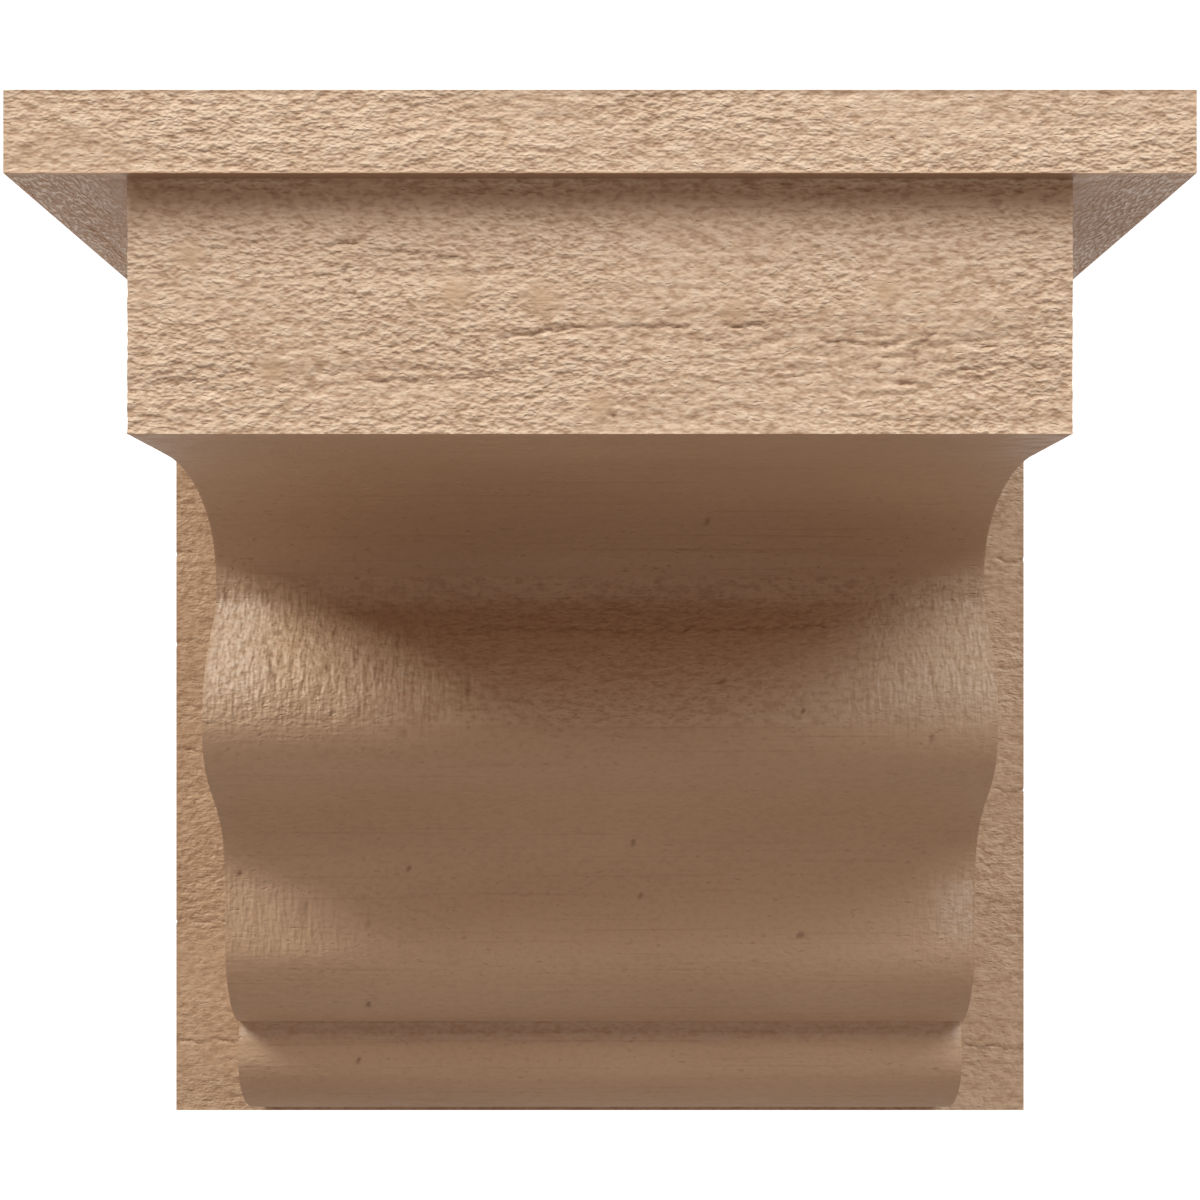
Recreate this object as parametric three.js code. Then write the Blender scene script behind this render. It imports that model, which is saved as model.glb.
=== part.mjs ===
// Rough-sawn timber corbel: a moulded body on a back plate, under an overhanging cap board.
// Millimetres. X runs along the wall, +Y goes into the wall and Z is up.
// The origin is the middle of the back face, on the wall.

import * as THREE from 'three';

// Widths
const bodyWidth = 203;
const capSideOverhang = 25.5;

// Boards
const capThickness = 18;
const capFrontOverhang = 6.35;
const plateThickness = 18;
const plateDrop = 2.8; // plate showing below the body
const glueGap = 0.3; // joint between two boards

// Side profile of the body, from the block at the top down to the foot.
// A run is measured out from the wall and a drop is measured down.
const blockDrop = 54.5;
const soffitRun = 54.65;
const coveRun = 80;
const coveDrop = 24.5;
const neckDrop = 6;
const crownRun = 25.2;
const crownDrop = 33;
const bellyRun = 43.2;
const bellyDrop = 46;
const waistDrop = 14.8;
const ovoloRun = 28.7;
const ovoloDrop = 24;
const quirkDrop = 1;
const quirkRun = 2.2;
const footCrownDrop = 9.5;
const footDrop = 19.6;
const footRun = 50.5;

// Fullness of the curves, as a share of their drop (of its run at the foot of the ovolo)
const neckFlow = 0.22;
const crownFlow = 0.58;
const bellyFlow = 0.5;
const waistFlow = 0.63;
const ovoloFlow = 0.55;
const ovoloFootFlow = 0.35;
const footNeckFlow = 0.1;
const footCrownFlow = 0.6;

const curveSteps = 14;

const timber = { color: 0xc8ac90, roughness: 0.85, metalness: 0 };

// Distances out from the wall
const bodyBack = plateThickness + glueGap;
const footOut = plateThickness + footRun;
const quirkOut = footOut - quirkRun;
const waistOut = quirkOut + ovoloRun;
const bellyOut = waistOut + bellyRun;
const neckOut = bellyOut - crownRun;
const coveOut = neckOut + coveRun;
const blockOut = coveOut + soffitRun;
const capDepth = blockOut + capFrontOverhang;

// Heights
const bodyHeight = blockDrop + coveDrop + neckDrop + crownDrop + bellyDrop + waistDrop
  + ovoloDrop + quirkDrop + footCrownDrop + footDrop;
const totalHeight = capThickness + glueGap + bodyHeight + plateDrop;
const capTop = totalHeight / 2;
const capUnderside = capTop - capThickness;
const underCap = capUnderside - glueGap; // top of the body and of the back plate
const plateBottom = capTop - totalHeight;

const capWidth = bodyWidth + 2 * capSideOverhang;

// Side view of the body: x is out from the wall, y is height
function bodyProfile() {
  const blockBottom = underCap - blockDrop;
  const neckTop = blockBottom - coveDrop;
  const crownTop = neckTop - neckDrop;
  const bellyTop = crownTop - crownDrop;
  const waistTop = bellyTop - bellyDrop;
  const ovoloTop = waistTop - waistDrop;
  const quirkTop = ovoloTop - ovoloDrop;
  const footCrownTop = quirkTop - quirkDrop;
  const footTop = footCrownTop - footCrownDrop;
  const bodyBottom = footTop - footDrop;

  const profile = new THREE.Shape();
  profile.moveTo(bodyBack, underCap);
  profile.lineTo(bodyBack, bodyBottom);
  profile.absellipse(bodyBack, footTop, footOut - bodyBack, footDrop, -Math.PI / 2, 0, false);
  profile.bezierCurveTo(footOut, footTop + footCrownFlow * footCrownDrop,
    quirkOut, footCrownTop - footNeckFlow * footCrownDrop, quirkOut, footCrownTop);
  profile.lineTo(quirkOut, quirkTop);
  profile.bezierCurveTo(quirkOut + ovoloFootFlow * ovoloRun, quirkTop,
    waistOut, ovoloTop - ovoloFlow * ovoloDrop, waistOut, ovoloTop);
  profile.lineTo(waistOut, waistTop);
  profile.bezierCurveTo(waistOut, waistTop + waistFlow * bellyDrop,
    bellyOut, bellyTop - bellyFlow * bellyDrop, bellyOut, bellyTop);
  profile.bezierCurveTo(bellyOut, bellyTop + crownFlow * crownDrop,
    neckOut, crownTop - neckFlow * crownDrop, neckOut, crownTop);
  profile.lineTo(neckOut, neckTop);
  profile.absellipse(coveOut, neckTop, coveRun, coveDrop, Math.PI, Math.PI / 2, true);
  profile.lineTo(blockOut, blockBottom);
  profile.lineTo(blockOut, underCap);
  profile.closePath();
  return profile;
}

// The profile runs the same all the way across
function bodyGeometry() {
  const geometry = new THREE.ExtrudeGeometry(bodyProfile(), {
    depth: bodyWidth, bevelEnabled: false, curveSegments: curveSteps,
  });
  const outward = new THREE.Vector3(0, -1, 0);
  const upward = new THREE.Vector3(0, 0, 1);
  const along = new THREE.Vector3(-1, 0, 0);
  geometry.applyMatrix4(new THREE.Matrix4().makeBasis(outward, upward, along));
  geometry.translate(bodyWidth / 2, 0, 0);
  return geometry;
}

function board(name, geometry) {
  const mesh = new THREE.Mesh(geometry, new THREE.MeshStandardMaterial(timber));
  mesh.name = name;
  return mesh;
}

// Cap board, back to the wall over the plate
function makeCap() {
  const cap = board('cap', new THREE.BoxGeometry(capWidth, capDepth, capThickness));
  cap.position.set(0, -capDepth / 2, capUnderside + capThickness / 2);
  return cap;
}

function makeBody() {
  return board('body', bodyGeometry());
}

// Back plate, flat on the wall, as wide as the cap
function makeBackPlate() {
  const plateHeight = underCap - plateBottom;
  const plate = board('back_plate', new THREE.BoxGeometry(capWidth, plateThickness, plateHeight));
  plate.position.set(0, -plateThickness / 2, plateBottom + plateHeight / 2);
  return plate;
}

const corbel = new THREE.Group();
corbel.name = 'corbel';
corbel.add(makeCap(), makeBody(), makeBackPlate());

export default corbel;
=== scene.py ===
# Rough-sawn timber corbel: a moulded body on a back plate, under an overhanging cap board.
# Blender 4.5. Metres, Z up, the front faces -Y and the wall is the plane Y = 0.

import math

import bmesh
import bpy
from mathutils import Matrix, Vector
from mathutils.kdtree import KDTree


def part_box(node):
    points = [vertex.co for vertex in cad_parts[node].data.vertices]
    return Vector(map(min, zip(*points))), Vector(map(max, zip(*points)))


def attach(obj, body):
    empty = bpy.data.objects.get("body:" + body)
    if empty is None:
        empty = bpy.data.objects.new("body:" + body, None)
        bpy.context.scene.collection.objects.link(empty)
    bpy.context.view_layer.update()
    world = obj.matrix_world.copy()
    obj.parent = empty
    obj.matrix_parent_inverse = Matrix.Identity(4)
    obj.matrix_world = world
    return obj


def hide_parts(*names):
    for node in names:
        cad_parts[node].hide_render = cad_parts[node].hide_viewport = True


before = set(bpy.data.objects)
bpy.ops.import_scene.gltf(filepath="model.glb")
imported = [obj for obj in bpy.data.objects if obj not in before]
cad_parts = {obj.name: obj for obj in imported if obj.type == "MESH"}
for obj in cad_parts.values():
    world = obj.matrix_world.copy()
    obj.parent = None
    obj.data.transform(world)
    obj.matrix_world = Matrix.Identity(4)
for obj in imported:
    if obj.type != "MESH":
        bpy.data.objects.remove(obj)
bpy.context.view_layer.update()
mm = 0.001
print("frame loaded,", len(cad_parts), "nodes")


# Camera, square to the front of the corbel

cameraSetup = {
    "distance": 576.3,       # mm, from the cap's front edge
    "focalPixels": 2716,
    "framePixels": 1200,
    "horizonPixel": 686.5,   # the level of the lens, down the frame
    "sensor": 36,            # mm
}
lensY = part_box("cap")[0].y - cameraSetup["distance"] * mm


def addCamera():
    c = cameraSetup
    bpy.ops.object.camera_add(location=(0, lensY, 0), rotation=(math.radians(90), 0, 0))
    camera = bpy.context.object
    camera.data.sensor_width = c["sensor"]
    camera.data.lens = c["sensor"] * c["focalPixels"] / c["framePixels"]
    camera.data.shift_y = (c["horizonPixel"] - c["framePixels"] / 2) / c["framePixels"]
    bpy.context.scene.camera = camera


addCamera()
print("camera placed")


# Edit-mode helpers

straightShare = 0.999     # an edge runs along an axis when so much of its length does
mostParts = 100           # subdivide makes no more at one go


def deselectAll():
    if bpy.context.object and bpy.context.object.mode == "EDIT":
        bpy.ops.object.mode_set(mode="OBJECT")
    bpy.ops.object.select_all(action="DESELECT")


def pickEdges(piece, test):
    mesh = bmesh.from_edit_mesh(piece.data)
    for part in (mesh.verts, mesh.edges, mesh.faces):
        for item in part:
            item.select = False
    for edge in mesh.edges:
        if test(edge):
            edge.select_set(True)
    bmesh.update_edit_mesh(piece.data)


def pickFaces(piece, test):
    mesh = bmesh.from_edit_mesh(piece.data)
    for face in mesh.faces:
        face.select_set(test(face))
    bmesh.update_edit_mesh(piece.data)


def cutAlong(piece, axis, spacing, where=None):
    # Every edge that runs along the axis is cut into equal parts, so the quads become a grid
    def runsAlong(edge):
        step = edge.verts[1].co - edge.verts[0].co
        if abs(step[axis]) < straightShare * step.length:
            return False
        return where is None or where((edge.verts[0].co + edge.verts[1].co) / 2)
    mesh = bmesh.from_edit_mesh(piece.data)
    longest = max(edge.calc_length() for edge in mesh.edges if runsAlong(edge))
    parts = max(2, round(longest / (spacing * mm)))
    firstParts = math.ceil(parts / mostParts)
    for count in (firstParts, round(parts / firstParts)):
        if count > 1:
            pickEdges(piece, runsAlong)
            bpy.ops.mesh.subdivide(number_cuts=count - 1)


# Where the photo shows things: pixels of its 1200 by 1200 frame, turned into places

def photoScale(y):
    # Metres for each pixel in the plane Y = y
    return (y - lensY) / cameraSetup["focalPixels"]


def atPixel(pixel, y):
    c = cameraSetup
    scale = photoScale(y)
    return Vector(((pixel[0] - c["framePixels"] / 2) * scale, y, (c["horizonPixel"] - pixel[1]) * scale))


def toPixel(place):
    c = cameraSetup
    scale = photoScale(place.y)
    return Vector((c["framePixels"] / 2 + place.x / scale, c["horizonPixel"] - place.z / scale))


# Relief left by the saw

reliefs = {
    # grain is the size of one crumb or wave in mm: along the wall, out from it and up
    # shift moves the noise by so many grains, and depth is in mm
    "waves": {"grain": (30, 9, 8), "depth": 0.5, "hard": False, "shift": 3.7, "group": "relief"},
    "crumbs": {"grain": (3.0, 2.8, 2.1), "depth": 0.62, "hard": False, "shift": 11.3, "group": "relief"},
    "flames": {"grain": (15, 6, 3.0), "depth": 1.0, "hard": True, "shift": 5.1, "group": "flames"},
    "streaks": {"grain": (3.6, 7, 7), "depth": 0.42, "hard": False, "shift": 7.9, "group": "streaks"},
}
reliefOctaves = 2
levelShare = 0.6      # share of the relief that lies below the flat surface
crackDepth = 0.5      # mm
crackWobble = [(1.6, 0.21), (0.9, 0.53)]     # pixels up and down, and radians for each pixel across
smoothAngle = 60      # degrees
touch = 0.03          # mm, near enough to lie on a face


def fade(value, start, end):
    return min(1.0, max(0.0, (value - start) / (end - start)))


def pressIn(piece, name, group, depth, level, texture=None, coordinates=None):
    push = piece.modifiers.new(name, "DISPLACE")
    push.mid_level = level
    push.strength = depth * mm
    push.vertex_group = group
    if texture:
        push.texture = texture
        push.texture_coords = "OBJECT"
        push.texture_coords_object = coordinates
    deselectAll()
    bpy.context.view_layer.objects.active = piece
    bpy.ops.object.modifier_apply(modifier=name)


def addRelief(piece, name):
    r = reliefs[name]
    noise = bpy.data.textures.new(name, "CLOUDS")
    noise.noise_basis = "ORIGINAL_PERLIN"
    noise.noise_type = "HARD_NOISE" if r["hard"] else "SOFT_NOISE"
    noise.noise_scale = 1
    noise.noise_depth = reliefOctaves
    deselectAll()
    bpy.ops.object.empty_add(location=[r["shift"] * g * mm for g in r["grain"]])
    grain = bpy.context.object
    grain.scale = [g * mm for g in r["grain"]]
    bpy.context.view_layer.update()
    pressIn(piece, name, r["group"], r["depth"], levelShare, noise, grain)
    bpy.data.objects.remove(grain)


def paintGroups(piece, amounts):
    # A vertex group for each kind of relief
    for name, amount in amounts.items():
        group = piece.vertex_groups.new(name=name)
        for index, point in enumerate(piece.data.vertices):
            value = amount(point.co)
            if value > 0:
                group.add([index], value, "REPLACE")


def paintMarks(piece, amounts):
    # Attributes that the material reads
    for name, amount in amounts.items():
        mark = piece.data.attributes.new(name, "FLOAT", "POINT")
        mark.data.foreach_set("value", [max(0.0, amount(point.co)) for point in piece.data.vertices])


def lineDistance(point, start, end):
    along = end - start
    share = min(1.0, max(0.0, (point - start).dot(along) / along.length_squared))
    return (point - start - along * share).length


def crackAmount(lines, width):
    # How deep in the nearest crack a point lies, from 0 to 1: the cracks and their width are in pixels
    ends = [[Vector(pixel) for pixel in line] for line in lines]

    def amount(point):
        pixel = toPixel(point)
        pixel.y += sum(height * math.sin(pixel.x * pace) for height, pace in crackWobble)
        near = [pair for pair in ends if pair[0].x - width < pixel.x < pair[1].x + width
                and abs(pixel.y - (pair[0].y + pair[1].y) / 2) < abs(pair[0].y - pair[1].y) / 2 + width]
        return max((1 - lineDistance(pixel, start, end) / width for start, end in near), default=0)
    return amount


def edgeDistance(point, low, high):
    # From a point on a box face to the nearest edge of the box, in mm
    gaps = sorted(min(point[k] - low[k], high[k] - point[k]) for k in range(3))
    return gaps[1] / mm


def finishPiece(piece, node, material):
    for name in reliefs:
        if reliefs[name]["group"] in piece.vertex_groups:
            addRelief(piece, name)
    if "cracks" in piece.vertex_groups:
        pressIn(piece, "cracks", "cracks", -crackDepth, 0)
    deselectAll()
    piece.select_set(True)
    bpy.context.view_layer.objects.active = piece
    bpy.ops.object.shade_smooth_by_angle(angle=math.radians(smoothAngle))
    piece.data.materials.clear()
    piece.data.materials.append(material)
    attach(piece, "root")
    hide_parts(node)
    print(piece.name, "made,", len(piece.data.polygons), "faces")


# Tan-primed rough-sawn timber

timberSetup = {
    "tanLight": (0.600, 0.425, 0.288, 1),
    "tanDark": (0.535, 0.365, 0.240, 1),
    # dark colour for the lines and nicks, and for painted shade in hollows, cracks, pits and corners
    "shadeAndMarkTan": (0.30, 0.18, 0.115, 1),
    # paler colours painted as light: a highlight on crumb tips, glints on specks and a sheen
    "tipHighlightTan": (0.68, 0.54, 0.41, 1),
    "glintTan": (0.87, 0.775, 0.69, 1),
    "sheenTan": (0.80, 0.74, 0.69, 1),
    "noises": {   # grain in mm, along the wall, out from it and up, and octaves
        "crumb": ((2.1, 1.9, 1.25), 1),
        "fine": ((1.0, 0.9, 0.6), 1),
        "flake": ((6, 4, 2.2), 1),
        "fibre": ((26, 3, 0.8), 1),
        "patch": ((40, 30, 18), 0),
        "streak": ((1.5, 5, 6), 1),
        "glintSpeck": ((0.9, 4, 6), 1),
        "nick": ((1.5, 1.4, 0.7), 0),
        "tint": ((90, 60, 26), 1),
        "line": ((90, 1.6, 0.8), 2),
    },
    "noiseRoughness": 0.55,
    "crumbShares": {"crumb": 0.66, "flake": 0.3, "fine": 0.2},
    "crumbLevel": 0.58,     # the noises' middle, where the surface is left as it is
    "streakLevel": 0.5,
    "bumpHeight": 1.1,      # mm
    "bumpShares": {"rough": 1.0, "fibre": 0.08, "upright": 0.62, "raised": 1.1, "nick": -0.14},
    "darkShares": {"hollowShade": 0.32, "paintedShade": 0.45, "line": 0.27, "nick": 0.18},
    # where a noise begins and ends to show, and for some what it becomes there
    "patchRange": (0.35, 0.62, 0.5, 1.15),
    "nickRange": (0.62, 0.76),
    "nickFlakeRange": (0.54, 0.64),
    "tintRange": (0.3, 0.7),
    "hollowShadeRange": (0.60, 0.46),
    "lineRange": (0.60, 0.74),
    "tipHighlightRange": (0.43, 0.75),
    "tipHighlightPower": 2.0,
    "glintRange": (0.53, 0.59),
    "sheenRange": (0.45, 0.68, 0.2, 1.0),
    "glossRange": (0.3, 0.7, 0.42, 0.58),
}


def addNode(tree, kind, settings=None, inputs=None):
    node = tree.nodes.new(kind)
    for name, value in (settings or {}).items():
        setattr(node, name, value)
    for socket, value in (inputs or {}).items():
        if isinstance(value, bpy.types.NodeSocket):
            tree.links.new(value, node.inputs[socket])
        else:
            node.inputs[socket].default_value = value
    return node


def addNoise(tree, place, grain, octaves):
    stretch = addNode(tree, "ShaderNodeMapping", inputs={
        "Vector": place, "Scale": [1 / (g * mm) for g in grain],
    })
    return addNode(tree, "ShaderNodeTexNoise", inputs={
        "Vector": stretch.outputs["Vector"], "Scale": 1.0, "Detail": octaves,
        "Roughness": timberSetup["noiseRoughness"],
    }).outputs["Fac"]


def addMaths(tree, operation, first, second):
    return addNode(tree, "ShaderNodeMath", {"operation": operation}, {0: first, 1: second}).outputs[0]


def addProduct(tree, product, *others):
    for other in others:
        product = addMaths(tree, "MULTIPLY", product, other)
    return product


def addSum(tree, parts, shares):
    # Each part times its share
    total = None
    for name, share in shares.items():
        weighted = addProduct(tree, parts[name], share)
        total = weighted if total is None else addMaths(tree, "ADD", total, weighted)
    return total


def addRange(tree, value, low, high, newLow=0.0, newHigh=1.0):
    return addNode(tree, "ShaderNodeMapRange", inputs={
        "Value": value, "From Min": low, "From Max": high, "To Min": newLow, "To Max": newHigh,
    }).outputs["Result"]


def addTint(tree, share, first, second):
    # The two colours are this node's seventh and eighth inputs, and the mixed one its third output
    return addNode(tree, "ShaderNodeMix", {"data_type": "RGBA"}, {0: share, 6: first, 7: second}).outputs[2]


def makeTimber():
    t = timberSetup
    material = bpy.data.materials.new("tan rough-sawn timber")
    material.use_nodes = True
    tree = material.node_tree
    shader = tree.nodes["Principled BSDF"]
    place = addNode(tree, "ShaderNodeTexCoord").outputs["Object"]
    noise = {name: addNoise(tree, place, grain, octaves)
             for name, (grain, octaves) in t["noises"].items()}
    sawn, streaked, paintedShade, glintSpecked, sheenMark = [
        addNode(tree, "ShaderNodeAttribute", {"attribute_name": name}).outputs["Fac"]
        for name in ("sawn", "streaked", "paintedShade", "glintSpecked", "sheenMark")]

    # Height of the surface: crumbs in looser and denser patches, fibres, upright streaks, specks and nicks
    crumbly = addSum(tree, noise, t["crumbShares"])
    aboveLevel = addMaths(tree, "SUBTRACT", crumbly, t["crumbLevel"])
    rough = addProduct(tree, aboveLevel, addRange(tree, noise["patch"], *t["patchRange"]), sawn)
    upright = addProduct(tree, addMaths(tree, "SUBTRACT", noise["streak"], t["streakLevel"]), streaked)
    raised = addProduct(tree, addMaths(tree, "SUBTRACT", noise["glintSpeck"], t["streakLevel"]), glintSpecked)
    onFlakes = addRange(tree, noise["flake"], *t["nickFlakeRange"])
    nick = addProduct(tree, addRange(tree, noise["nick"], *t["nickRange"]), onFlakes)
    height = addSum(tree, {
        "rough": rough, "fibre": noise["fibre"], "upright": upright, "raised": raised, "nick": nick,
    }, t["bumpShares"])
    bump = addNode(tree, "ShaderNodeBump", inputs={
        "Strength": 1.0, "Distance": t["bumpHeight"] * mm, "Height": height,
    })
    tree.links.new(bump.outputs["Normal"], shader.inputs["Normal"])

    # Colour: a slow change along the boards, darker lines and nicks, painted shade in the hollows, cracks,
    # pits and corners, and paler painted highlights on the tips, painted glints on the specks and a painted
    # sheen
    tan = addTint(tree, addRange(tree, noise["tint"], *t["tintRange"]), t["tanDark"], t["tanLight"])
    # Painted shade in the crumbs' hollows
    hollowShade = addProduct(tree, addRange(tree, crumbly, *t["hollowShadeRange"]), sawn)
    fineLine = addRange(tree, noise["line"], *t["lineRange"])
    # Painted shade: the hollows and the shade mark darken the tan, as do the lines and nicks
    dark = addSum(tree, {"hollowShade": hollowShade, "paintedShade": paintedShade, "line": fineLine, "nick": nick}, t["darkShares"])
    tan = addTint(tree, dark, tan, t["shadeAndMarkTan"])
    # No tip highlight is painted where shade is painted
    unshaded = addRange(tree, paintedShade, 0, 1, 1, 0)
    # Painted highlight: the tips of the roughest crumbs are paler
    roughest = addMaths(tree, "POWER", sawn, t["tipHighlightPower"])
    tipHighlight = addProduct(tree, addRange(tree, crumbly, *t["tipHighlightRange"]), roughest, unshaded)
    tan = addTint(tree, tipHighlight, tan, t["tipHighlightTan"])
    # Painted glints: pale specks on the cap's underside
    glintSpeck = addProduct(tree, addRange(tree, noise["glintSpeck"], *t["glintRange"]), glintSpecked)
    tan = addTint(tree, glintSpeck, tan, t["glintTan"])
    # Painted sheen: a whitish patch on the left crown, the right waist and the quirk
    sheen = addProduct(tree, addRange(tree, crumbly, *t["sheenRange"]), sheenMark)
    tan = addTint(tree, sheen, tan, t["sheenTan"])
    tree.links.new(tan, shader.inputs["Base Color"])
    gloss = addRange(tree, noise["flake"], *t["glossRange"])
    tree.links.new(gloss, shader.inputs["Roughness"])
    return material


timber = makeTimber()
print("material made")


# Boards: the cap and the back plate

boardMargin = 0.3         # mm, so that no crumb stands past the board's true size
edgeFade = (0.1, 0.9)     # mm from an edge, which stays straight

capSetup = {
    "grid": (0.85, 2.5, 0.45),     # mm: along the wall, out from it and up
    "grooveX": -120.5, "grooveWidth": 0.9, "grooveY": (-190, -136),     # mm, in the underside
    "undersideSawn": 0.2,
    # painted shade on the underside over the block
    "cornerShade": 1.5,
    # specks on the underside, raised and painted pale as glints, in the photo's pixels
    "middleColumn": 600, "innerColumn": 473, "frontRow": 176, "slant": 0.6,
    "speckFade": (15, 60),
    "fewestSpecks": 0.15,
}
plateSetup = {
    # mm: the grid is fine in the strips that show beside the body, and they run a tuck behind it
    "stripGrid": 0.85, "hiddenGrid": 9, "outGrid": 1.5, "upGrid": 0.55, "tuck": 3,
    # painted shade over the plate, stronger on the left
    "sawn": 0.75, "shadeLeft": 0.32, "shadeRight": 0.12,
    # in the photo's pixels
    "crackWidth": 1.8,
    "cracks": [
        [(176, 553), (203, 554)], [(176, 643), (199, 641)], [(178, 750), (205, 751)],
        [(186, 706), (203, 708)], [(176, 920), (226, 921)], [(180, 1042), (236, 1040)],
        [(998, 560), (1024, 562)], [(1000, 668), (1022, 667)], [(996, 790), (1024, 792)],
        [(985, 905), (1020, 903)], [(966, 1046), (1020, 1048)],
    ],
}


def startBoard(name, node, lowMargin, highMargin):
    # The margins say on which sides the board keeps room for its crumbs
    low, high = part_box(node)
    low = low + Vector(lowMargin) * boardMargin * mm
    high = high - Vector(highMargin) * boardMargin * mm
    deselectAll()
    bpy.ops.mesh.primitive_cube_add(size=1, location=(low + high) / 2)
    board = bpy.context.object
    board.name = name
    board.scale = high - low
    bpy.ops.object.transform_apply(location=True, rotation=False, scale=True)
    bpy.ops.object.mode_set(mode="EDIT")
    return board, low, high


def makeCap():
    s = capSetup
    cap, low, high = startBoard("cap_board", "cap", (1, 1, 0), (1, 0, 1))
    for axis, spacing in enumerate(s["grid"]):
        cutAlong(cap, axis, spacing)
    bpy.ops.object.mode_set(mode="OBJECT")
    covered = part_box("body")[1].x

    def underneath(point):
        return point.z < low.z + touch * mm

    def groove(point):
        inside = s["grooveY"][0] < point.y / mm < s["grooveY"][1] and underneath(point)
        return 1 - abs(point.x / mm - s["grooveX"]) / s["grooveWidth"] if inside else 0

    def relief(point):
        flat = underneath(point) or point.y > -touch * mm
        return 0 if flat else fade(edgeDistance(point, low, high), *edgeFade)

    def sawn(point):
        return s["undersideSawn"] if underneath(point) else 1

    def glintSpecked(point):
        # Raised specks on the underside, painted pale as glints, thicker towards its outer edges
        if not underneath(point) or abs(point.x) < covered:
            return 0
        column, row = toPixel(point)
        outwards = abs(column - s["middleColumn"]) - s["innerColumn"] + (row - s["frontRow"]) * s["slant"]
        few = s["fewestSpecks"]
        amount = max(groove(point), few + (1 - few) * fade(outwards, *s["speckFade"]))
        return amount * fade(edgeDistance(point, low, high), *edgeFade)

    def paintedShade(point):
        # Painted shade in the corner over the block
        return s["cornerShade"] if underneath(point) and abs(point.x) < covered else 0
    paintGroups(cap, {"relief": relief, "cracks": groove})
    paintMarks(cap, {"sawn": sawn, "glintSpecked": glintSpecked, "paintedShade": paintedShade})
    finishPiece(cap, "cap", timber)


def makePlate():
    s = plateSetup
    plate, low, high = startBoard("back_board", "back_plate", (1, 0, 1), (1, 0, 0))
    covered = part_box("body")[1].x - s["tuck"] * mm
    for side in (-covered, covered):
        bpy.ops.mesh.select_all(action="SELECT")
        bpy.ops.mesh.bisect(plane_co=(side, 0, 0), plane_no=(1, 0, 0))
    cutAlong(plate, 0, s["stripGrid"], where=lambda middle: abs(middle.x) > covered)
    cutAlong(plate, 0, s["hiddenGrid"], where=lambda middle: abs(middle.x) < covered)
    cutAlong(plate, 1, s["outGrid"])
    cutAlong(plate, 2, s["upGrid"])
    bpy.ops.object.mode_set(mode="OBJECT")
    crackedFront = crackAmount(s["cracks"], s["crackWidth"])

    def cracks(point):
        return crackedFront(point) if point.y < low.y + touch * mm and abs(point.x) > covered else 0

    def relief(point):
        return 0 if point.y > -touch * mm else fade(edgeDistance(point, low, high), *edgeFade)

    # Painted shade over the plate, more on the left, and darker in its cracks
    def paintedShade(point):
        rightwards = fade(point.x, -covered, covered)
        shadeAmount = s["shadeLeft"] * (1 - rightwards) + s["shadeRight"] * rightwards
        return max(shadeAmount, cracks(point))
    paintGroups(plate, {"relief": relief, "cracks": cracks})
    paintMarks(plate, {"sawn": lambda point: s["sawn"], "paintedShade": paintedShade})
    finishPiece(plate, "back_plate", timber)


# Body: its side profile drawn by extruding one edge, then cut into columns and roughened

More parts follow.
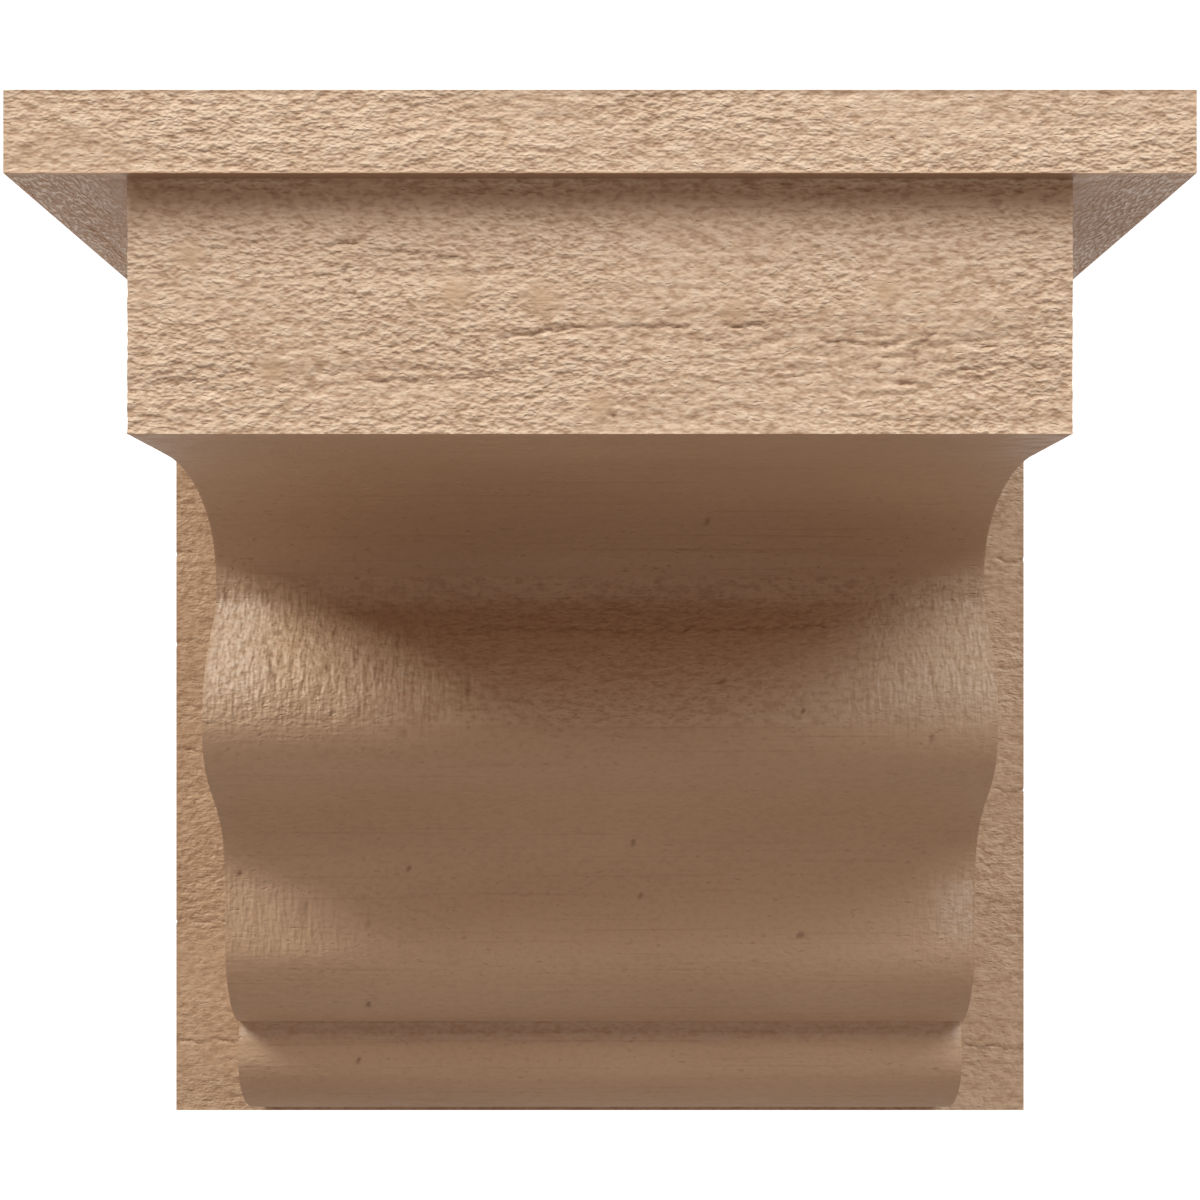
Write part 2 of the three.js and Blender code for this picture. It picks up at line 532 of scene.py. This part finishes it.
bodySetup = {
    # mm: a run is measured out from the wall, a drop is measured down
    "blockDrop": 54.5, "soffitRun": 54.65, "coveRun": 80, "coveDrop": 24.5, "neckDrop": 6,
    "crownRun": 25.2, "crownDrop": 33, "bellyRun": 43.2, "bellyDrop": 46, "waistDrop": 14.8,
    "ovoloRun": 28.7, "ovoloDrop": 24, "quirkDrop": 1, "quirkRun": 2.2, "footCrownDrop": 9.5,
    "glueLine": 0.01,
    # fullness of the curves, as a share of their drop, or of the ovolo's run at its foot
    "neckFlow": 0.22, "crownFlow": 0.58, "bellyFlow": 0.5, "waistFlow": 0.63,
    "ovoloFlow": 0.55, "ovoloFootFlow": 0.35, "footNeckFlow": 0.1, "footCrownFlow": 0.6,
    "rows": {   # for each stretch of the profile, mm between its rows and how rough it was left
        "block": (0.45, 1.0), "soffit": (2.4, 0.2), "cove": (1.8, 0.25), "neck": (1.0, 0.7),
        "crown": (1.0, 0.7), "belly": (1.2, 0.35), "waist": (1.4, 0.3), "ovolo": (1.4, 0.35),
        "quirk": (0.8, 0.3), "footCrown": (0.9, 0.3), "foot": (1.6, 0.3), "back": (12, 0.3),
        "top": (12, 0.3),
    },
    "curveSteps": 400,
    "merge": 0.02, "columns": 1.0, "sidePlanes": (4, 3),     # mm
    "sideSawn": 0.5, "streakSawn": 0.6, "spotSawn": 0.3,
    "backEdge": 1, "mouldingReach": 150,     # mm out from the plate: the mouldings lie between the two
    "crackReach": 190,                       # mm back from the block's face
    "flameFade": (0.5, 3),                   # mm from the block's edges
    # the pits are darkened as painted shade, up to the darkest share
    "ridgeShare": 0.7, "pitDepth": 2.2, "pitShade": 4, "darkestPit": 2,
    # places, lengths and widths from here on are in the photo's pixels
    "smoothSpots": [   # column, row and radius in mm
        (190, 255, 3.4), (455, 293, 3.8), (543, 300, 4.0), (600, 404, 3.4), (735, 313, 3.2),
        (886, 290, 3.0), (272, 372, 3.0),
    ],
    "spotEdge": (0.3, 1.3),     # shares of the radius
    # each zone fades in and out between four columns and four rows, and has a share
    "flameZones": [
        ((600, 760, 1080, 1090), (310, 335, 385, 425), 1.0),
        ((560, 700, 1080, 1090), (385, 400, 430, 440), 0.55),
        ((120, 125, 480, 640), (362, 372, 390, 402), 0.7),
        ((330, 380, 520, 600), (244, 254, 276, 288), 0.7),
    ],
    "streakZones": [
        ((200, 220, 430, 560), (555, 600, 690, 750), 1.0),
        ((430, 560, 800, 880), (590, 625, 690, 740), 0.4),
        ((222, 226, 400, 600), (850, 885, 945, 966), 0.75),
        ((780, 880, 1012, 1020), (560, 600, 700, 750), 0.9),
        ((860, 940, 1002, 1010), (846, 880, 945, 968), 0.7),
    ],
    "sheenZones": [   # painted sheen on the left crown, the right waist and the quirk
        ((196, 206, 245, 285), (590, 606, 680, 715), 0.34),
        ((925, 960, 1002, 1010), (870, 890, 925, 950), 0.28),
        ((224, 236, 976, 990), (1019, 1024, 1034, 1042), 0.35),
    ],
    "shadeRows": [   # painted shade under the cap and in the cove, all the way across
        ((184, 200, 204, 245), 0.75),
        ((470, 520, 600, 640), 0.45),
    ],
    "crackWidth": 2.0, "ridgeWidth": 7,
    "cracks": [
        [(345, 269), (358, 300)], [(400, 251), (470, 260)], [(330, 246), (356, 241)],
        [(368, 381), (500, 377)], [(152, 386), (208, 379)], [(724, 327), (770, 325)],
        [(820, 340), (866, 343)], [(880, 345), (901, 342)], [(910, 347), (940, 331)],
        [(972, 345), (1022, 349)], [(1030, 350), (1048, 345)], [(945, 373), (1000, 366)],
        [(916, 352), (918, 386)], [(900, 386), (918, 381)], [(560, 328), (690, 326)],
        [(500, 338), (560, 330)], [(470, 626), (640, 630)], [(640, 630), (838, 625)],
        [(836, 603), (838, 625)], [(328, 640), (330, 722)], [(396, 634), (398, 662)],
        [(383, 662), (385, 690)], [(466, 655), (468, 698)], [(306, 905), (308, 945)],
        [(366, 898), (368, 930)], [(272, 648), (274, 690)],
    ],
    "pitLength": 0.5, "pitWidth": 3.3,
    "pits": [
        (708, 520), (612, 414), (278, 633), (722, 682), (403, 735), (633, 845), (409, 868),
        (240, 873), (641, 898), (368, 1007), (357, 1061), (803, 708), (931, 740), (800, 934),
    ],
}


def line(start, end):
    return lambda t: start + (end - start) * t


def arc(centre, start, end):
    # Quarter ellipse from start to end, both straight out from the centre
    def curve(t):
        turn = t * math.pi / 2
        return centre + (start - centre) * math.cos(turn) + (end - centre) * math.sin(turn)
    return curve


def flow(start, startPull, endPull, end):
    # Curve that leaves and arrives along its two pulls
    first = start + Vector(startPull)
    last = end + Vector(endPull)
    return lambda t: (start * (1 - t) ** 3 + first * 3 * t * (1 - t) ** 2
                      + last * 3 * t ** 2 * (1 - t) + end * t ** 3)


def blockTop():
    # The block is glued tight under the cap
    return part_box("cap")[0].z - bodySetup["glueLine"] * mm


def profileStretches():
    # Each stretch: its curve as (y, z) in metres, the row spacing in mm and how rough it was left
    b = bodySetup
    low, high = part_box("body")

    def at(corner, run, drop):
        return corner + Vector((run, -drop)) * mm
    top = Vector((low.y, blockTop()))
    blockFoot = at(Vector((low.y, high.z)), 0, b["blockDrop"])
    coveOuter = at(blockFoot, b["soffitRun"], 0)
    coveInner = at(coveOuter, b["coveRun"], b["coveDrop"])
    coveCentre = Vector((coveOuter.x, coveInner.y))
    neck = at(coveInner, 0, b["neckDrop"])
    bulge = at(neck, -b["crownRun"], b["crownDrop"])
    waist = at(bulge, b["bellyRun"], b["bellyDrop"])
    ovolo = at(waist, 0, b["waistDrop"])
    ovoloFoot = at(ovolo, b["ovoloRun"], b["ovoloDrop"])
    quirk = at(ovoloFoot, 0, b["quirkDrop"])
    foot = at(quirk, -b["quirkRun"], b["footCrownDrop"])
    footEnd = Vector((high.y, low.z))
    footCentre = Vector((high.y, foot.y))
    backTop = Vector((high.y, top.y))

    def upright(startShare, endShare, drop):
        return (0, -startShare * drop * mm), (0, endShare * drop * mm)
    crownPulls = upright(b["neckFlow"], b["crownFlow"], b["crownDrop"])
    bellyPulls = upright(b["bellyFlow"], b["waistFlow"], b["bellyDrop"])
    footPulls = upright(b["footNeckFlow"], b["footCrownFlow"], b["footCrownDrop"])
    ovoloPulls = (0, -b["ovoloFlow"] * b["ovoloDrop"] * mm), (-b["ovoloFootFlow"] * b["ovoloRun"] * mm, 0)
    curves = {
        "block": line(top, blockFoot),
        "soffit": line(blockFoot, coveOuter),
        "cove": arc(coveCentre, coveOuter, coveInner),
        "neck": line(coveInner, neck),
        "crown": flow(neck, *crownPulls, bulge),
        "belly": flow(bulge, *bellyPulls, waist),
        "waist": line(waist, ovolo),
        "ovolo": flow(ovolo, *ovoloPulls, ovoloFoot),
        "quirk": line(ovoloFoot, quirk),
        "footCrown": flow(quirk, *footPulls, foot),
        "foot": arc(footCentre, foot, footEnd),
        "back": line(footEnd, backTop),
        "top": line(backTop, top),
    }
    return [(curve, *b["rows"][name]) for name, curve in curves.items()]


def walkStretch(curve, spacing):
    # Points along the stretch at even distances, without its first one
    steps = bodySetup["curveSteps"]
    fine = [curve(k / steps) for k in range(steps + 1)]
    lengths = [0]
    for a, b in zip(fine, fine[1:]):
        lengths.append(lengths[-1] + (b - a).length)
    rows = max(1, round(lengths[-1] / (spacing * mm)))
    points = []
    index = 0
    for row in range(1, rows):
        target = lengths[-1] * row / rows
        while lengths[index + 1] < target:
            index += 1
        share = (target - lengths[index]) / (lengths[index + 1] - lengths[index])
        points.append(fine[index] + (fine[index + 1] - fine[index]) * share)
    points.append(fine[-1])
    return points


def window(value, stops):
    # Rises from the first stop to the second and falls from the third to the fourth
    return fade(value, stops[0], stops[1]) * (1 - fade(value, stops[2], stops[3]))


def bodyAmounts(path, pathSawn):
    # How much of each kind of relief, and of each mark that the material reads, a point of the body gets
    b = bodySetup
    low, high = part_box("body")
    blockFoot = high.z - b["blockDrop"] * mm
    spots = [(atPixel((column, row), low.y), radius * mm) for column, row, radius in b["smoothSpots"]]
    profile = KDTree(len(path))
    for index, spot in enumerate(path[:-1]):
        profile.insert((spot.x, spot.y, 0), index)
    profile.balance()
    pitLines = [[(column, row), (column + b["pitLength"], row)] for column, row in b["pits"]]
    crackedFace = crackAmount(b["cracks"], b["crackWidth"])
    ridgedFace = crackAmount(b["cracks"], b["ridgeWidth"])
    pittedFace = crackAmount(pitLines, b["pitWidth"])

    def inZones(point, zones):
        column, row = toPixel(point)
        return max(window(column, columns) * window(row, rows) * share for columns, rows, share in zones)

    def onFront(point):
        return point.y < low.y + touch * mm

    def onSide(point):
        return abs(point.x) > high.x - touch * mm

    def onMouldings(point):
        out = (high.y - point.y) / mm
        return b["backEdge"] < out < b["mouldingReach"] and not onSide(point)

    def facesOut(point):
        return point.y < low.y + b["crackReach"] * mm and not onSide(point)

    def blockDistance(point):
        # From the block's top or bottom edge
        return min(high.z - point.z, point.z - blockFoot) / mm

    def streaked(point):
        return inZones(point, b["streakZones"]) if onMouldings(point) else 0

    def sheenMark(point):
        return inZones(point, b["sheenZones"]) if onMouldings(point) else 0

    def sawn(point):
        index, away = profile.find((point.y, point.z, 0))[1:]
        amount = pathSawn[index] if away < touch * mm else b["sideSawn"]
        if onFront(point):
            for centre, radius in spots:
                outside = fade((point - centre).length / radius, *b["spotEdge"])
                amount *= b["spotSawn"] + (1 - b["spotSawn"]) * outside
        return max(amount, b["streakSawn"] * streaked(point))

    # Painted shade: darker in the cracks and pits, under the cap and in the cove
    def paintedShade(point):
        if not facesOut(point):
            return 0
        shadeAmount = max(window(toPixel(point).y, stops) * share for stops, share in b["shadeRows"])
        return max(crackedFace(point), min(b["darkestPit"], b["pitShade"] * pittedFace(point)), shadeAmount)

    def relief(point):
        return sawn(point) * (fade(blockDistance(point), *edgeFade) if onFront(point) else 1)

    def flames(point):
        if not onFront(point) or onSide(point):
            return 0
        amount = max(inZones(point, b["flameZones"]), b["ridgeShare"] * ridgedFace(point))
        return amount * fade(blockDistance(point), *b["flameFade"])

    def cracks(point):
        return max(crackedFace(point), min(1, b["pitDepth"] * pittedFace(point))) if facesOut(point) else 0
    return ({"relief": relief, "flames": flames, "streaks": streaked, "cracks": cracks},
            {"sawn": sawn, "streaked": streaked, "paintedShade": paintedShade, "sheenMark": sheenMark})


def addSidePoints(body):
    # Planes put more points on the outlines of the two flat sides, with the moulded faces hidden
    low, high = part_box("body")
    pickFaces(body, lambda face: abs(face.normal.x) < 0.5)
    bpy.ops.mesh.hide(unselected=False)
    for axis, spacing in zip((1, 2), bodySetup["sidePlanes"]):
        normal = [0, 0, 0]
        normal[axis] = 1
        count = round((high[axis] - low[axis]) / (spacing * mm))
        for k in range(1, count):
            place = [0, 0, 0]
            place[axis] = low[axis] + (high[axis] - low[axis]) * k / count
            bpy.ops.mesh.select_all(action="SELECT")
            bpy.ops.mesh.bisect(plane_co=place, plane_no=normal)
    bpy.ops.mesh.reveal(select=False)


def makeBody():
    b = bodySetup
    low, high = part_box("body")
    path = [Vector((low.y, blockTop()))]
    sawn = [1.0]
    for curve, spacing, rough in profileStretches():
        points = walkStretch(curve, spacing)
        path.extend(points)
        sawn.extend([rough] * len(points))
    deselectAll()
    firstRow = (path[0].y + path[1].y) / 2
    bpy.ops.mesh.primitive_plane_add(size=1, location=(0, path[0].x, firstRow),
                                     rotation=(math.radians(90), 0, 0))
    body = bpy.context.object
    body.name = "moulded_body"
    body.scale = (high.x - low.x, path[0].y - path[1].y, 1)
    bpy.ops.object.transform_apply(location=True, rotation=True, scale=True)
    bpy.ops.object.mode_set(mode="EDIT")
    bpy.ops.mesh.select_mode(type="EDGE")
    pickEdges(body, lambda edge: max(v.co.z for v in edge.verts) < firstRow)
    for here, there in zip(path[1:], path[2:]):
        step = (0, there.x - here.x, there.y - here.y)
        bpy.ops.mesh.extrude_region_move(TRANSFORM_OT_translate={"value": step})
    bpy.ops.mesh.select_all(action="SELECT")
    bpy.ops.mesh.remove_doubles(threshold=b["merge"] * mm)
    bpy.ops.mesh.fill_holes(sides=0)     # the two flat sides, each one face
    cutAlong(body, 0, b["columns"])
    addSidePoints(body)
    bpy.ops.mesh.select_all(action="SELECT")
    bpy.ops.mesh.normals_make_consistent(inside=False)
    bpy.ops.object.mode_set(mode="OBJECT")
    groups, marks = bodyAmounts(path, sawn)
    paintGroups(body, groups)
    paintMarks(body, marks)
    finishPiece(body, "body", timber)


makeCap()
makePlate()
makeBody()


# Studio: pale floor, white backdrop, two large soft lights at the camera's sides and one over it

studio = {
    "floorDrop": 0.42,
    "floorSize": 8,
    "sheetColour": (0.173, 0.144, 0.131, 1),
    "sheetRoughness": 0.9,
    "floorGlow": 0.128,                        # keeps the floor pale where the lamps don't reach
    "floorGlowColour": (1, 0.83, 0.70, 1),
    "backdropAway": 1.3,
    "backdropGlow": 1.05,
    "backdropGlowColour": (1, 1, 1, 1),
    "airColour": (1.0, 0.73, 0.60, 1),
    "airStrength": 0.345,
    "lampDistance": 2.2,
    "lamps": {   # degrees round from the front and up, watts, metres across and colour
        "leftBox": {"round": -62, "up": 43, "power": 37, "size": 0.9, "colour": (0.99, 0.97, 0.86)},
        "rightBox": {"round": 46, "up": 47, "power": 27.5, "size": 1.5, "colour": (0.86, 0.94, 0.96)},
        "frontBox": {"round": 0, "up": 42, "power": 14.5, "size": 1.2, "colour": (0.99, 0.96, 0.92)},
    },
}


def stageSheet(name, place, turn, glow, glowColour):
    s = studio
    deselectAll()
    bpy.ops.mesh.primitive_plane_add(size=s["floorSize"], location=place, rotation=turn)
    sheet = bpy.context.object
    sheet.name = name
    material = bpy.data.materials.new(name)
    material.use_nodes = True
    shader = material.node_tree.nodes["Principled BSDF"]
    shader.inputs["Base Color"].default_value = s["sheetColour"]
    shader.inputs["Roughness"].default_value = s["sheetRoughness"]
    shader.inputs["Emission Color"].default_value = glowColour
    shader.inputs["Emission Strength"].default_value = glow
    sheet.data.materials.append(material)


def addLamp(name, lamp):
    aside, up = math.radians(lamp["round"]), math.radians(lamp["up"])
    outward = Vector((math.sin(aside) * math.cos(up), -math.cos(aside) * math.cos(up), math.sin(up)))
    bpy.ops.object.light_add(type="AREA", location=outward * studio["lampDistance"])
    light = bpy.context.object
    light.name = name
    light.data.size = lamp["size"]
    light.data.energy = lamp["power"]
    light.data.color = lamp["colour"]
    light.rotation_euler = outward.to_track_quat("Z", "Y").to_euler()


def setStudio():
    s = studio
    half = s["floorSize"] / 2
    stageSheet("floor", (0, 0, -s["floorDrop"]), (0, 0, 0), s["floorGlow"], s["floorGlowColour"])
    stageSheet("backdrop", (0, s["backdropAway"], half - s["floorDrop"]), (math.radians(90), 0, 0),
               s["backdropGlow"], s["backdropGlowColour"])
    for name, lamp in s["lamps"].items():
        addLamp(name, lamp)
    world = bpy.data.worlds.new("air")
    world.use_nodes = True
    air = world.node_tree.nodes["Background"]
    air.inputs["Color"].default_value = s["airColour"]
    air.inputs["Strength"].default_value = s["airStrength"]
    bpy.context.scene.world = world
    bpy.context.scene.view_settings.view_transform = "Standard"


setStudio()
print("studio lit")
